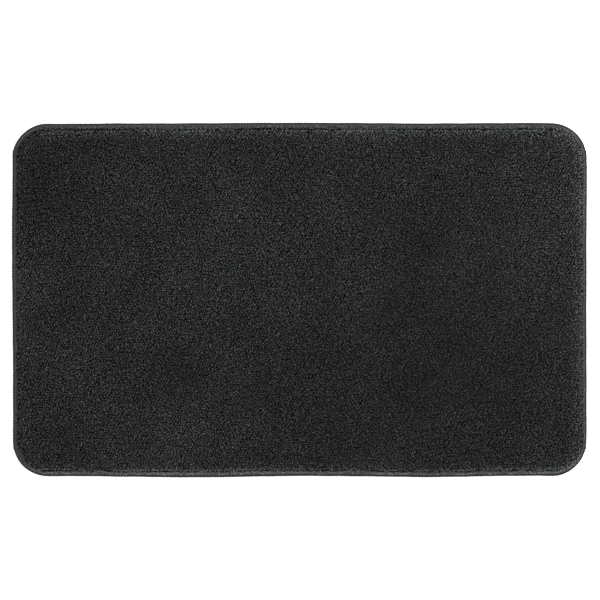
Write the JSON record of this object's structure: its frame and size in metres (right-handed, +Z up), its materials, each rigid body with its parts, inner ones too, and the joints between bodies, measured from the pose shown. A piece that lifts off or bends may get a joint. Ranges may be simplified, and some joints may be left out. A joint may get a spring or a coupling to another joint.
{
  "type": "bath mat",
  "caption": "Rounded rectangular bath mat: dense charcoal cut pile on a woven backing, serged round the edge, with an antislip rubber underside.",
  "frame": {"origin": "middle of the underside, on the floor", "axes": "+X along the mat's long side, +Y across it, +Z up through the pile"},
  "size_m": [0.812, 0.5, 0.017],
  "materials": {
    "pile": "soft matt cut pile, charcoal",
    "looper_yarn": "bulky spun polyester thread, charcoal",
    "sewing_thread": "fine twisted polyester thread, charcoal",
    "backing_cloth": "woven flat polypropylene tape, grey",
    "latex": "dried compound, matt",
    "antislip_rubber": "matt synthetic rubber with raised grip, grey",
    "label_tape": "blank satin tape, white",
    "label_thread": "fine twisted polyester thread, charcoal"
  },
  "bodies": {
    "root": {"pile_tufts": "pile", "upper_looper_thread": "looper_yarn", "lower_looper_thread": "looper_yarn", "needle_thread": "sewing_thread", "primary_backing_cloth": "backing_cloth", "latex_precoat": "latex", "antislip_backing": "antislip_rubber", "care_label": "label_tape", "care_label_stitches": "label_thread"}
  },
  "joints": []
}
